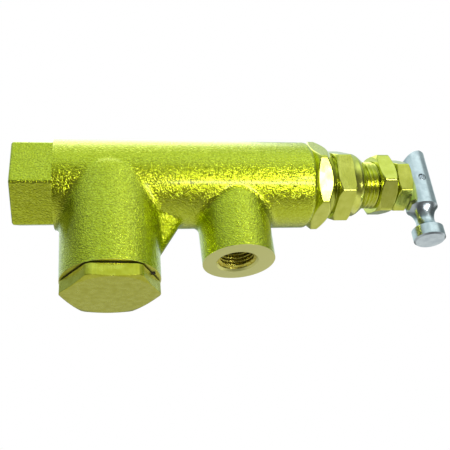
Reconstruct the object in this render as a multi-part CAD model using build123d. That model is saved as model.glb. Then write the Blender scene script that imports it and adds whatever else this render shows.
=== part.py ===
from build123d import *
import math
import os

# Pilot valve with a check valve, all sizes in millimetres.
# X runs along the barrel from the face of the inlet hexagon, Z is up, -Y is the front.

# Inlet hexagon, one half inch pipe thread inside
inlet_hex_af = 28.575
inlet_hex_length = 14.0
inlet_corner_round = 1.3
inlet_thread_r = 9.4
inlet_thread_depth = 15.0
inlet_passage_r = 7.0

# Barrel
barrel_r = 16.3
barrel_end_x = 107.2
barrel_end_round = 2.0

# Check valve boss, hanging down from the barrel
check_x = 33.1
check_boss_r = 16.8
check_boss_end_z = -38.8
check_boss_top = 4.0
check_boss_dome = 8.0
check_throat_r = 6.0
check_seat_z = -10.5
seat_lip_height = 0.8
seat_lip_width = 1.2
check_chamber_r = 12.6
cap_thread_r = 13.4
cap_thread_depth = 7.8

# Outlet boss at the back of the check valve boss
outlet_z = -19.5
outlet_boss_r = 14.0
outlet_end_y = 25.0
outlet_thread_r = 9.4
outlet_thread_depth = 16.6

# Small boss with a quarter inch pipe thread
pilot_port_x = 76.8
small_boss_shift = 0.6
small_boss_r = 12.75
small_boss_end_z = -32.4
pilot_port_thread_r = 6.75
pilot_port_thread_depth = 12.5
pilot_port_mouth_r = 7.45
pilot_port_drill_r = 4.0

# Web between the check valve boss and the barrel, drilled for the pressure passage
web_edge_r = 3.0
web_side_angle = 31.0
web_depth = 14.0
web_low_x = 48.26
web_low_z = -26.8
web_high_x = 57.24
web_high_z = -12.8
passage_r = 1.5

# Casting
draft_angle = 1.1
boss_fillet = 4.0
web_fillet = 3.0
small_boss_fillet = 3.6
outlet_fillet = 2.5

# Pilot bore, from the barrel's open end
housing_thread_r = 11.0
housing_thread_x = 92.0
plunger_bore_r = 8.45
seat_thread_r = 7.0
seat_x = 60.0
seat_length = 6.0
pilot_chamber_length = 4.5
pilot_chamber_r = 4.0

# Named clearances
thread_clearance = 0.03
running_clearance = 0.05
stem_clearance = 0.06
lever_gap = 0.3
slot_clearance = 0.3

# Check valve cap
cap_af = 31.75
cap_turn_degrees = 3.5
cap_hex_height = 4.9
cap_corner_r = 16.75
cap_chamfer = 1.3
cap_edge_break = 0.4
gasket_thickness = 0.5
gasket_width = 1.9
cap_plug_length = 8.0
guide_r = 5.4
guide_length = 9.2
guide_depth = 12.0

# Check poppet
poppet_r = 8.2
poppet_thickness = 3.0
poppet_rim = 1.2
check_seal_r = 7.6
check_seal_thickness = 2.5
poppet_stem_r = 3.0
poppet_stem_length = 10.2
poppet_stud_r = 1.5
seal_nut_af = 7.0
seal_nut_height = 2.0
check_lift = 4.4
check_spring_r = 6.9
check_spring_wire_r = 0.6
check_spring_turns = 4.5

# Pilot seat, plunger and their seals
orifice_r = 1.5
seat_nose_r = 2.6
seat_nose_length = 1.0
seat_ring_r = 0.9
plunger_nose_r = 4.5
plunger_land_x = 81.5
plunger_end_x = 91.0
plunger_ring_x = 86.2
plunger_ring_r = 1.0
plunger_seal_r = 3.4
plunger_seal_thickness = 2.0
plunger_lift = 1.2

# Stem, button and pilot spring
button_flange_r = 5.8
button_flange_thickness = 3.0
button_hub_r = 3.6
button_hub_length = 3.0
button_recess_r = 3.4
button_recess_depth = 1.9
stem_rod_r = 2.0
stem_ring_thickness = 0.8
stem_head_r = 4.0
stem_head_x = 136.0
stem_flat_x = 139.2
blade_half_thickness = 2.0
pilot_spring_r = 4.85
pilot_spring_wire_r = 0.9
pilot_spring_turns = 10

# Pilot housing
housing_hex_af = 25.1
housing_hex_x = 116.3
housing_hex_end_x = 122.6
housing_hex_turn = 42.0
collar_r = 12.1
collar_end_x = 128.6
collar_small_r = 9.9

# Thin lock nut against the barrel
nut_af = 29.7
nut_turn = 55.5
nut_end_x = 115.0
nut_cone_x = 111.2
nut_cone_end_r = 13.1
nut_cone_r = 17.0
nut_back_r = 14.2
nut_back_chamfer = 1.7

# Adjusting screw and its lock nut
screw_thread_r = 9.1
screw_pitch = 1.5875
screw_inner_x = 112.0
screw_bore_r = 6.2
screw_wall_x = 138.2
screw_neck_r = 8.3
screw_neck_x = 140.0
screw_hex_x = 141.5
screw_end_x = 147.0
screw_hex_af = 18.4
screw_hex_turn = 44.0
screw_hex_chamfer_r = 10.2
lock_nut_wall = 1.72
lock_nut_turn = 23.5
lock_nut_x = 133.9
lock_nut_thickness = 6.1
lock_nut_corner_cut = 0.23
lock_nut_chamfer = 1.3

# Toggle lever, its own axis leans on the flat that faces the hexagon
lever_lean = 3.5
lever_r = 5.86
lever_side = 5.9
lever_top = 13.2
lever_top_round = 1.0
lever_body_low = -11.2
knob_r = 5.81
knob_high = -20.5
knob_low = -25.2
knob_round = 0.6
lever_waist = ((4.55, -12.9), (3.65, -15.2), (3.45, -17.4), (4.3, -19.5))
slot_back = 4.3
pin_r = 1.5
pin_length = 11.3
pin_wall = 0.5

pin_x = screw_end_x + lever_gap + lever_side
pilot_chamber_x = seat_x - pilot_chamber_length
lock_nut_af = 2 * (screw_thread_r + thread_clearance + lock_nut_wall)
lock_nut_corner_r = lock_nut_af / math.sqrt(3) - lock_nut_corner_cut
check_poppet_z = check_seat_z - seat_lip_height
gasket_z = check_boss_end_z - gasket_thickness
blade_r = slot_back - slot_clearance
spring_start_x = plunger_end_x + button_flange_thickness
cam_rate = (lever_top - lever_side) / math.radians(90)


def bar_x(radius, start, end):
    """Round bar along X."""
    place = Plane(origin=(start, 0, 0), x_dir=(0, 1, 0), z_dir=(1, 0, 0))
    return extrude(place * Circle(radius), end - start)


def bar_z(radius, low, high, x=0.0):
    """Round bar along Z."""
    return extrude(Plane(origin=(x, 0, low)) * Circle(radius), high - low)


def turned_x(points):
    """Solid turned about the X axis from (x, radius) corners, closed on the axis."""
    first, last = points[0], points[-1]
    corners = [(first[0], 0), *points, (last[0], 0), (first[0], 0)]
    return revolve(make_face(Polyline(*corners)), Axis.X, 360)


def turned_z(points, x=0.0):
    """Solid turned about a vertical axis at x from (radius, z) corners."""
    first, last = points[0], points[-1]
    corners = [(0, first[1]), *points, (0, last[1]), (0, first[1])]
    outline = Plane.XZ * make_face(Polyline(*corners))
    return Pos(x, 0, 0) * revolve(outline, Axis.Z, 360)


def hexagon_x(across_flats, start, end, turn):
    """Hexagonal prism along X, turn is the angle of its first corner from +Y towards +Z."""
    place = Plane(origin=(start, 0, 0), x_dir=(0, 1, 0), z_dir=(1, 0, 0))
    outline = RegularPolygon(across_flats / math.sqrt(3), 6, rotation=turn)
    return extrude(place * outline, end - start)


def drafted_boss(end_radius, end_z, x, top=0.0, dome=0.0):
    """Boss below the axis, a little wider at its root for the mould, its top rounded if a dome is given."""
    root_radius = end_radius + (top - end_z) * math.tan(math.radians(draft_angle))
    boss = turned_z([(end_radius, end_z), (root_radius, top)], x)
    if dome > 0:
        boss = fillet(boss.edges().sort_by(Axis.Z)[-1], dome)
    return boss


def blend(first, second, radius):
    """Join two shapes of the casting with a fillet along the line where they meet."""
    joined = first + second
    return fillet(new_edges(first, second, combined=joined), radius)


def coil(radius, wire_radius, length, turns):
    """Open coil spring standing on the origin along Z, its ends inside its length."""
    rise = length - 2 * wire_radius
    path = Helix(pitch=rise / turns, height=rise, radius=radius)
    wire = sweep(Plane(origin=path @ 0, z_dir=path % 0) * Circle(wire_radius), path=path, is_frenet=True)
    return Pos(0, 0, wire_radius) * wire


def ring_x(mid_radius, wire_radius, x):
    """Elastomer ring around the X axis."""
    return Plane(origin=(x, 0, 0), x_dir=(0, 1, 0), z_dir=(1, 0, 0)) * Torus(mid_radius, wire_radius)


def web():
    """Web under the barrel: a round lower edge that runs up from the boss, wider towards its root."""
    low = Vector(web_low_x, 0, web_low_z)
    run = Vector(web_high_x, 0, web_high_z) - low
    place = Plane(origin=low - run, x_dir=(run.Z, 0, -run.X), z_dir=run)
    angle = math.radians(web_side_angle)
    edge = (web_edge_r * math.sin(angle), web_edge_r * math.cos(angle))
    root = (-web_depth, edge[1] + (edge[0] + web_depth) * math.tan(angle))
    wedge = Polyline(edge, root, (root[0], -root[1]), (edge[0], -edge[1]), edge)
    solid = extrude(place * (make_face(wedge) + Circle(web_edge_r)), run.length * 2.4)
    return solid & bar_z(60, web_low_z - 12, 0, web_low_x)


def inlet_hexagon():
    """Cast hexagonal end with soft corners, a flat to the front and corners up and down."""
    prism = hexagon_x(inlet_hex_af, 0, inlet_hex_length + 6, 30)
    long_edges = prism.edges().filter_by(Axis.X)
    prism = fillet(long_edges, inlet_corner_round)
    front = prism.faces().sort_by(Axis.X)[0]
    return fillet(front.edges(), inlet_corner_round * 0.8)


def body_outside():
    """Outside of the casting, with fillets where its shapes meet."""
    barrel = bar_x(barrel_r, inlet_hex_length - barrel_r, barrel_end_x)
    barrel = fillet(barrel.edges().sort_by(Axis.X)[-1], barrel_end_round)
    check = drafted_boss(check_boss_r, check_boss_end_z, check_x, check_boss_top, check_boss_dome)
    small = drafted_boss(small_boss_r, small_boss_end_z, pilot_port_x + small_boss_shift)
    outlet = Pos(check_x, 0, outlet_z) * Rot(-90, 0, 0) * Cylinder(outlet_boss_r, outlet_end_y, align=(
        Align.CENTER, Align.CENTER, Align.MIN))
    cast = blend(barrel, check, boss_fillet)
    cast = blend(cast, web(), web_fillet)
    cast = blend(cast, small, small_boss_fillet)
    cast = blend(cast, outlet, outlet_fillet)
    left = Box(80, 80, 120, align=(Align.MAX, Align.CENTER, Align.CENTER))
    return cast - Pos(inlet_hex_length, 0, 0) * left + inlet_hexagon()


def body_bores():
    """Everything that is machined out of the casting."""
    inlet = turned_x([(-1, inlet_thread_r), (inlet_thread_depth, inlet_thread_r),
                      (inlet_thread_depth + 1.9, inlet_passage_r), (check_x + 6, inlet_passage_r)])
    lip_r = check_throat_r + seat_lip_width
    check = turned_z([(cap_thread_r + 1.0, check_boss_end_z - 1), (cap_thread_r, check_boss_end_z + 0.6),
                      (cap_thread_r, check_boss_end_z + cap_thread_depth),
                      (check_chamber_r, check_boss_end_z + cap_thread_depth), (check_chamber_r, check_seat_z),
                      (lip_r, check_seat_z), (lip_r, check_poppet_z), (check_throat_r, check_poppet_z),
                      (check_throat_r, 0)], check_x)
    outlet = Pos(check_x, outlet_end_y + 1, outlet_z) * Rot(90, 0, 0) * turned_z(
        [(outlet_thread_r + 2.2, 0), (outlet_thread_r, 2.2), (outlet_thread_r, outlet_thread_depth + 1)])
    port_top = small_boss_end_z + pilot_port_thread_depth
    mouth = pilot_port_mouth_r - pilot_port_thread_r
    port = turned_z([(pilot_port_mouth_r + 1, small_boss_end_z - 1),
                     (pilot_port_thread_r, small_boss_end_z + mouth), (pilot_port_thread_r, port_top),
                     (pilot_port_drill_r, port_top + 1.6), (pilot_port_drill_r, -2)], pilot_port_x)
    seat_end = seat_x + seat_length
    pilot = turned_x([(pilot_chamber_x, pilot_chamber_r), (seat_x, pilot_chamber_r),
                      (seat_x, seat_thread_r), (seat_end, seat_thread_r),
                      (seat_end, plunger_bore_r), (housing_thread_x, plunger_bore_r),
                      (housing_thread_x, housing_thread_r), (barrel_end_x - 1, housing_thread_r),
                      (barrel_end_x + 1, housing_thread_r + 2)])
    start = Vector(check_x + check_chamber_r - 3, 0, web_low_z)
    run = Vector(pilot_chamber_x + 2, 0, -1) - start
    passage = extrude(Plane(origin=start, z_dir=run) * Circle(passage_r), run.length)
    return [inlet, check, outlet, port, pilot, passage]


def valve_body():
    """Cast and machined body."""
    solid = body_outside()
    for bore in body_bores():
        solid = solid - bore
    return solid


def check_cap():
    """Hexagon cap with turned corners, its threaded plug and the guide for the poppet's stem."""
    low = gasket_z - cap_hex_height
    place = Plane(origin=(check_x, 0, low))
    outline = RegularPolygon(cap_af / math.sqrt(3), 6, rotation=cap_turn_degrees)
    prism = extrude(place * outline, cap_hex_height)
    rise = cap_chamfer * math.tan(math.radians(30))
    turned = turned_z([(cap_corner_r - cap_edge_break, low), (cap_corner_r, low + cap_edge_break),
                       (cap_corner_r, gasket_z - rise), (cap_corner_r - cap_chamfer, gasket_z)], check_x)
    head = prism & turned
    plug_r = cap_thread_r - thread_clearance
    top = gasket_z + cap_plug_length
    plug = turned_z([(plug_r, gasket_z), (plug_r, top - 0.8), (plug_r - 0.8, top)], check_x)
    guide = bar_z(guide_r, top - 0.5, top + guide_length, check_x)
    guide_end = top + guide_length
    hole = bar_z(poppet_stem_r + stem_clearance, guide_end - guide_depth, guide_end + 1, check_x)
    return head + plug + guide - hole


def cap_gasket():
    """Thin ring between the boss and the cap."""
    outer = cap_corner_r - cap_chamfer
    return bar_z(outer, gasket_z, check_boss_end_z, check_x) - bar_z(
        outer - gasket_width, gasket_z - 1, check_boss_end_z + 1, check_x)


def check_poppet():
    """Poppet: a cup that holds the sealing disc, with a guide stem below and a stud above."""
    seal_low = check_poppet_z - check_seal_thickness
    low = seal_low - poppet_thickness
    cup = turned_z([(poppet_r - 0.6, low), (poppet_r, low + 0.6), (poppet_r, seal_low + poppet_rim),
                    (check_seal_r, seal_low + poppet_rim), (check_seal_r, seal_low),
                    (poppet_stud_r, seal_low), (poppet_stud_r, check_poppet_z + seal_nut_height + 0.5)])
    tip = low - poppet_stem_length
    stem = turned_z([(poppet_stem_r - 0.6, tip), (poppet_stem_r, tip + 0.6), (poppet_stem_r, low + 0.5)])
    return Pos(check_x, 0, 0) * (cup + stem)


def check_seal():
    """Elastomer disc that closes on the seat lip."""
    low = check_poppet_z - check_seal_thickness
    disc = bar_z(check_seal_r, low, check_poppet_z, check_x)
    return disc - bar_z(poppet_stud_r, low - 1, check_poppet_z + 1, check_x)


def seal_nut():
    """Small hexagon nut on the poppet's stud."""
    place = Plane(origin=(check_x, 0, check_poppet_z))
    nut = extrude(place * RegularPolygon(seal_nut_af / math.sqrt(3), 6), seal_nut_height)
    return nut - bar_z(poppet_stud_r, check_poppet_z - 1, 0, check_x)


def check_spring():
    """Coil spring between the cap and the poppet."""
    low = gasket_z + cap_plug_length
    high = check_poppet_z - check_seal_thickness - poppet_thickness
    return Pos(check_x, 0, low) * coil(check_spring_r, check_spring_wire_r, high - low, check_spring_turns)


def pilot_seat():
    """Threaded seat with the pressure orifice and a groove for its ring."""
    outer = seat_thread_r - thread_clearance
    end = seat_x + seat_length
    groove = outer - seat_ring_r * 2
    groove_x = seat_x + 1
    groove_end = groove_x + 2.2 * seat_ring_r
    seat = turned_x([(seat_x, outer), (groove_x, outer), (groove_x, groove), (groove_end, groove),
                     (groove_end, outer), (end, outer), (end, seat_nose_r + 0.8),
                     (end + seat_nose_length, seat_nose_r)])
    return seat - bar_x(orifice_r, seat_x - 1, end + seat_nose_length + 1)


def seat_oring():
    """Ring that seals the pilot seat in its bore."""
    return ring_x(seat_thread_r - thread_clearance - seat_ring_r, seat_ring_r, seat_x + 1 + 1.1 * seat_ring_r)


def pilot_plunger():
    """Plunger: a slim nose past the port, then a guided land with a ring groove."""
    nose_x = seat_x + seat_length + seat_nose_length
    outer = plunger_bore_r - running_clearance
    groove = outer - plunger_ring_r * 2
    groove_x = plunger_ring_x - 1.1 * plunger_ring_r
    groove_end = plunger_ring_x + 1.1 * plunger_ring_r
    solid = turned_x([(nose_x, plunger_nose_r - 0.5), (nose_x + 0.5, plunger_nose_r),
                      (plunger_land_x, plunger_nose_r), (plunger_land_x, outer - 0.5),
                      (plunger_land_x + 0.5, outer), (groove_x, outer), (groove_x, groove),
                      (groove_end, groove), (groove_end, outer), (plunger_end_x - 0.5, outer),
                      (plunger_end_x, outer - 0.5)])
    return solid - bar_x(plunger_seal_r, nose_x - 1, nose_x + plunger_seal_thickness)


def plunger_seal():
    """Elastomer face that closes the orifice."""
    nose_x = seat_x + seat_length + seat_nose_length
    return bar_x(plunger_seal_r, nose_x, nose_x + plunger_seal_thickness)


def plunger_oring():
    """Ring in the plunger's land."""
    mid = plunger_bore_r - running_clearance - plunger_ring_r
    return ring_x(mid, plunger_ring_r, plunger_ring_x)


def spring_button():
    """Button between plunger and spring, with a recess for the retaining ring."""
    hub_end = spring_start_x + button_hub_length
    solid = turned_x([(plunger_end_x, button_flange_r - 0.5), (plunger_end_x + 0.5, button_flange_r),
                      (spring_start_x, button_flange_r), (spring_start_x, button_hub_r),
                      (hub_end - 0.6, button_hub_r), (hub_end, button_hub_r - 0.6)])
    recess = bar_x(button_recess_r, plunger_end_x - 1, plunger_end_x + button_recess_depth)
    return solid - recess - bar_x(stem_rod_r + running_clearance, plunger_end_x, hub_end + 1)


def stem_ring():
    """Retaining ring on the stem's inner end."""
    end = plunger_end_x + button_recess_depth - 0.1
    start = end - stem_ring_thickness
    return bar_x(button_recess_r - 0.3, start, end) - bar_x(stem_rod_r - 0.3, start - 1, end + 1)


def pull_stem():
    """Stem: a rod through the spring, a guided head and a flattened eye for the pin."""
    ring_end = plunger_end_x + button_recess_depth - 0.1
    ring_start = ring_end - stem_ring_thickness
    start = plunger_end_x + 0.3
    rod = turned_x([(start, stem_rod_r - 0.3), (ring_start, stem_rod_r), (ring_start, stem_rod_r - 0.3),
                    (ring_end, stem_rod_r - 0.3), (ring_end, stem_rod_r), (stem_head_x, stem_rod_r),
                    (stem_head_x + 1, stem_head_r), (pin_x + blade_r, stem_head_r)])
    blade_length = pin_x + blade_r - stem_flat_x
    for side in (-1, 1):
        cut = Box(blade_length + 1, stem_head_r, 4 * stem_head_r,
                  align=(Align.MIN, Align.CENTER, Align.CENTER))
        rod = rod - Pos(stem_flat_x, side * (blade_half_thickness + stem_head_r / 2), 0) * cut
    eye = Pos(pin_x, 0, 0) * Rot(90, 0, 0) * Cylinder(blade_r, 4 * blade_r)
    kept = Box(pin_x - start + 1, 30, 30, align=(Align.MAX, Align.CENTER, Align.CENTER))
    rod = rod & (Pos(pin_x, 0, 0) * kept + eye)
    return rod - Pos(pin_x, 0, 0) * Rot(90, 0, 0) * Cylinder(pin_r + running_clearance, 12)


def pilot_spring():
    """Coil spring between the button and the adjusting screw's end wall."""
    length = screw_wall_x - spring_start_x
    spring = coil(pilot_spring_r, pilot_spring_wire_r, length, pilot_spring_turns)
    return Pos(spring_start_x, 0, 0) * Rot(0, 90, 0) * spring


def pilot_housing():
    """Threaded sleeve with a hexagon and a turned collar."""
    outer = housing_thread_r - thread_clearance
    hex_r = housing_hex_af / math.sqrt(3)
    sleeve = turned_x([(housing_thread_x + 0.3, outer - 0.8), (housing_thread_x + 1.1, outer),
                       (housing_hex_x + 1, outer)])
    hexagon = hexagon_x(housing_hex_af, housing_hex_x, housing_hex_end_x, housing_hex_turn)
    limits = turned_x([(housing_hex_x, hex_r - 1.6), (housing_hex_x + 1.0, hex_r),
                       (housing_hex_end_x - 0.5, hex_r), (housing_hex_end_x, hex_r - 0.8)])
    collar = turned_x([(housing_hex_end_x - 0.5, collar_r), (collar_end_x - 3.2, collar_r),
                       (collar_end_x - 2.2, collar_r - 0.5), (collar_end_x, collar_small_r)])
    bore = bar_x(screw_thread_r + thread_clearance, housing_thread_x - 1, collar_end_x + 1)
    return sleeve + (hexagon & limits) + collar - bore


def housing_lock_nut():
    """Thin hexagon nut with one side turned to a cone."""
    prism = hexagon_x(nut_af, barrel_end_x, nut_end_x, nut_turn)
    cone = turned_x([(barrel_end_x, nut_back_r), (barrel_end_x + nut_back_chamfer, nut_cone_r),
                     (nut_cone_x, nut_cone_r), (nut_end_x, nut_cone_end_r)])
    return (prism & cone) - bar_x(housing_thread_r, barrel_end_x - 1, nut_end_x + 1)


def adjusting_screw():
    """Hollow screw with a neck and a hexagon head, bored through for the stem."""
    hex_r = screw_hex_af / math.sqrt(3)
    shank = turned_x([(screw_inner_x, screw_thread_r - 0.8), (screw_inner_x + 0.8, screw_thread_r),
                      (screw_neck_x, screw_thread_r), (screw_neck_x, screw_neck_r),
                      (screw_hex_x + 0.5, screw_neck_r)])
    head = hexagon_x(screw_hex_af, screw_hex_x, screw_end_x, screw_hex_turn)
    limits = turned_x([(screw_hex_x, screw_hex_chamfer_r - 0.6), (screw_hex_x + 0.6, hex_r),
                       (screw_end_x - 0.6, hex_r), (screw_end_x, screw_hex_chamfer_r - 0.6)])
    bore = bar_x(screw_bore_r, screw_inner_x - 1, screw_wall_x)
    stem_hole = bar_x(stem_head_r + stem_clearance, screw_wall_x - 1, screw_end_x + 1)
    return shank + (head & limits) - bore - stem_hole


def adjusting_lock_nut():
    """Hexagon nut, chamfered on both faces."""
    end = lock_nut_x + lock_nut_thickness
    prism = hexagon_x(lock_nut_af, lock_nut_x, end, lock_nut_turn)
    low = lock_nut_corner_r - lock_nut_chamfer
    rise = lock_nut_chamfer * math.tan(math.radians(32))
    limits = turned_x([(lock_nut_x, low), (lock_nut_x + rise, lock_nut_corner_r),
                       (end - rise, lock_nut_corner_r), (end, low)])
    return (prism & limits) - bar_x(screw_thread_r + thread_clearance, lock_nut_x - 1, end + 1)


def cam_point(turn):
    """Point of the lever's cam that touches the hexagon when the lever has turned that far.

    The distance from the pin to the hexagon grows evenly with the turn, so the stem
    comes out in step with the lever.
    """
    reach = lever_side + cam_rate * turn
    x = -reach * math.cos(turn) + cam_rate * math.sin(turn)
    z = reach * math.sin(turn) + cam_rate * math.cos(turn)
    return (pin_x + x, z)


def lever_side_view():
    """Side view of the lever: flat towards the hexagon, cam above it, open elsewhere."""
    points = [cam_point(math.radians(turn)) for turn in range(0, 91, 10)]
    cam = Spline(*points, tangents=((0, 1), (1, 0)))
    far = pin_x + 2 * lever_r
    near = pin_x - 2 * lever_r
    flat_x = pin_x - lever_side
    flat_low = lever_body_low - 0.4
    outline = cam + Polyline(points[-1], (far, lever_top), (far, knob_low - 3), (near, knob_low - 3),
                             (near, flat_low), (flat_x, flat_low), points[0])
    return extrude(Plane.XZ * make_face(outline), 2 * lever_r, both=True)


def toggle_lever():
    """Turned lever with a waist and a knob, cut to its cam and slotted for the stem's eye."""
    waist = Spline((lever_r, lever_body_low), *lever_waist, (knob_r, knob_high))
    side = Polyline((knob_r, knob_high), (knob_r, knob_low + knob_round), (knob_r - knob_round, knob_low),
                    (0, knob_low), (0, lever_top + 1), (lever_r - lever_top_round, lever_top + 1))
    top = lever_top + 1 - lever_top_round
    crown = Polyline((lever_r - lever_top_round, lever_top + 1), (lever_r, top), (lever_r, lever_body_low))
    turned = revolve(Plane.XZ * make_face(waist + side + crown), Axis.Z, 360)
    leaning = Pos(pin_x, 0, 0) * Rot(0, lever_lean, 0) * turned
    solid = leaning & lever_side_view()
    half = blade_half_thickness + slot_clearance
    slot = Box(4 * lever_r, 2 * half, 3 * lever_top, align=(Align.MAX, Align.CENTER, Align.MIN))
    rounded = Rot(90, 0, 0) * Cylinder(slot_back, 2 * half)
    corner = Pos(slot_back, 0, -slot_back) * Box(slot_back, 2 * half, slot_back,
                                                 align=(Align.MAX, Align.CENTER, Align.MIN))
    slot = Pos(slot_back, 0, -slot_back) * slot - (corner - rounded)
    solid = solid - Pos(pin_x, 0, 0) * slot
    return solid - Pos(pin_x, 0, 0) * Rot(90, 0, 0) * Cylinder(pin_r, 4 * lever_r)


def lever_pin():
    """Roll pin with its slot along the back."""
    pin = Cylinder(pin_r, pin_length) - Cylinder(pin_r - pin_wall, pin_length + 1)
    gap = Pos(pin_r, 0, 0) * Box(pin_r, 0.4, pin_length + 1)
    return Pos(pin_x, 0, 0) * Rot(90, 0, 0) * (pin - gap)


PARTS = {
    "valve_body": valve_body,
    "check_cap": check_cap,
    "cap_gasket": cap_gasket,
    "check_spring": check_spring,
    "check_poppet": check_poppet,
    "check_seal": check_seal,
    "seal_nut": seal_nut,
    "pilot_seat": pilot_seat,
    "seat_oring": seat_oring,
    "pilot_plunger": pilot_plunger,
    "plunger_seal": plunger_seal,
    "plunger_oring": plunger_oring,
    "spring_button": spring_button,
    "stem_ring": stem_ring,
    "pull_stem": pull_stem,
    "pilot_spring": pilot_spring,
    "pilot_housing": pilot_housing,
    "housing_lock_nut": housing_lock_nut,
    "adjusting_screw": adjusting_screw,
    "adjusting_lock_nut": adjusting_lock_nut,
    "toggle_lever": toggle_lever,
    "lever_pin": lever_pin,
}

os.makedirs("parts", exist_ok=True)
for name, build in PARTS.items():
    export_step(build(), f"parts/{name}.step")
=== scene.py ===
"""Pilot valve with a check valve: finishes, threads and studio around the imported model.

X runs along the barrel from the inlet hexagon's face, Z is up and -Y is the front, in metres.
Sizes of the pieces are in millimetres, as on a drawing, and MM turns them to metres. Those of
the studio are in metres.
"""

import logging
import math
from dataclasses import dataclass, field
from enum import Enum
from typing import Any

import bmesh
import bpy
import numpy as np
from mathutils import Matrix, Vector


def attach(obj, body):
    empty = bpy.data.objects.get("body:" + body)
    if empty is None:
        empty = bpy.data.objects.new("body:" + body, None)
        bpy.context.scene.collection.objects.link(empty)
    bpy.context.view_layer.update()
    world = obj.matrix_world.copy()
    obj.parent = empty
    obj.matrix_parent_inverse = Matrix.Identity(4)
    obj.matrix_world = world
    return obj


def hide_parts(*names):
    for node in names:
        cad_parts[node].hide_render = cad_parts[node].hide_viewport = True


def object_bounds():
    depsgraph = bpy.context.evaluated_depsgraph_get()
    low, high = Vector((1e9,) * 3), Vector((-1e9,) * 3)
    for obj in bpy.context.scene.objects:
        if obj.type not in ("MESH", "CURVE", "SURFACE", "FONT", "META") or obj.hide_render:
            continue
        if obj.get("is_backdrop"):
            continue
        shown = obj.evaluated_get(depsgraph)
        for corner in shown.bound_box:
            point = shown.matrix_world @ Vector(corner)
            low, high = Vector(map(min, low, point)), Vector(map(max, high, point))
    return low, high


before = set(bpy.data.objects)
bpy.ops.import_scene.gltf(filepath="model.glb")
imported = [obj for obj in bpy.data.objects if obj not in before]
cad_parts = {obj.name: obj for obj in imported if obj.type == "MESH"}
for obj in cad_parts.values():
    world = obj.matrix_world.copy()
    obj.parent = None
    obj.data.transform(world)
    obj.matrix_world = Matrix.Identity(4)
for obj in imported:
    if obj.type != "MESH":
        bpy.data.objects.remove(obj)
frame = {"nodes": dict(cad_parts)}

LOG = logging.getLogger("pilot_valve")
MM = 0.001
TURN = 2 * math.pi

Tree = bpy.types.NodeTree
Socket = bpy.types.NodeSocket
Place = tuple[float, float, float]
Profile = tuple[tuple[float, float], ...]

# Numbers of the Mix node's sockets, which has one set for plain numbers and one for colours
SHARE = 0
NUMBER_A, NUMBER_B, NUMBER_OUT = 2, 3, 0
COLOUR_A, COLOUR_B, COLOUR_OUT = 6, 7, 2

# Places on the valve, in millimetres
BARREL_AXIS: Place = (0.0, 0.0, 0.0)
CHECK_AXIS: Place = (33.1, 0.0, 0.0)
OUTLET_CENTRE: Place = (33.1, 0.0, -19.5)
PILOT_PORT_AXIS: Place = (76.8, 0.0, 0.0)
PIN_CENTRE: Place = (153.2, 0.0, 0.0)
BARREL_END = 107.2

# Directions in which the casting has machined ends
DOWN: Place = (0.0, 0.0, -1.0)
BACK: Place = (0.0, 1.0, 0.0)
TO_INLET: Place = (-1.0, 0.0, 0.0)
TO_LEVER: Place = (1.0, 0.0, 0.0)


class Axis(Enum):
    """Which way the axis of a turned piece runs."""

    ALONG_BARREL = "x"
    UPRIGHT = "z"
    BACKWARD = "y"


class Seam(Enum):
    """How the two ends of a surface's profile meet."""

    RING = "ring"
    POLES = "poles"


# Colours and nodes


def srgb(code: str) -> tuple[float, float, float, float]:
    """Turn an sRGB hex colour to the linear values that Blender takes.

    Args:
        code: Colour as #RRGGBB.

    Returns:
        Linear red, green and blue, with an alpha of 1.
    """
    values = np.array([int(code[i : i + 2], 16) for i in (1, 3, 5)]) / 255
    linear = np.where(values <= 0.04045, values / 12.92, ((values + 0.055) / 1.055) ** 2.4)
    return (*linear.tolist(), 1.0)


def add_node(
    tree: Tree, kind: str, settings: dict[str | int, Any], links: dict[str | int, Any] | None = None
) -> bpy.types.Node:
    """Add a node, set its options and input values, and link its inputs.

    Args:
        tree: Node tree that gets the node.
        kind: Blender's name of the node type.
        settings: Option names or input names or numbers, with their values.
        links: Input names or numbers, with the output socket that feeds each.

    Returns:
        The new node.
    """
    node = tree.nodes.new(kind)
    for key, value in settings.items():
        if isinstance(key, str) and hasattr(node, key):
            setattr(node, key, value)
        else:
            node.inputs[key].default_value = value
    for key, socket in (links or {}).items():
        tree.links.new(socket, node.inputs[key])
    return node


def empty_tree(owner: bpy.types.ID) -> Tree:
    """Give the cleared node tree of a material or world."""
    owner.use_nodes = True
    owner.node_tree.nodes.clear()
    return owner.node_tree


def linked(name: str, data: bpy.types.ID) -> bpy.types.Object:
    """Put a mesh, lamp or camera into the scene as an object.

    Args:
        name: The object's name.
        data: What it holds.

    Returns:
        The linked object.
    """
    made = bpy.data.objects.new(name, data)
    bpy.context.scene.collection.objects.link(made)
    return made


@dataclass(frozen=True)
class Fade:
    """Change of one value from low to high while another runs from start to end."""

    start: float
    end: float
    low: float
    high: float

    def settings(self) -> dict[str | int, Any]:
        """Give the input values of a Map Range node."""
        return {"From Min": self.start, "From Max": self.end, "To Min": self.low, "To Max": self.high}


@dataclass(frozen=True)
class Grain:
    """One layer of surface relief: noise of a real size and depth, stretched along the axes."""

    size_mm: float
    depth_mm: float
    detail: float = 2.0
    stretch: Place = (1.0, 1.0, 1.0)


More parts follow.
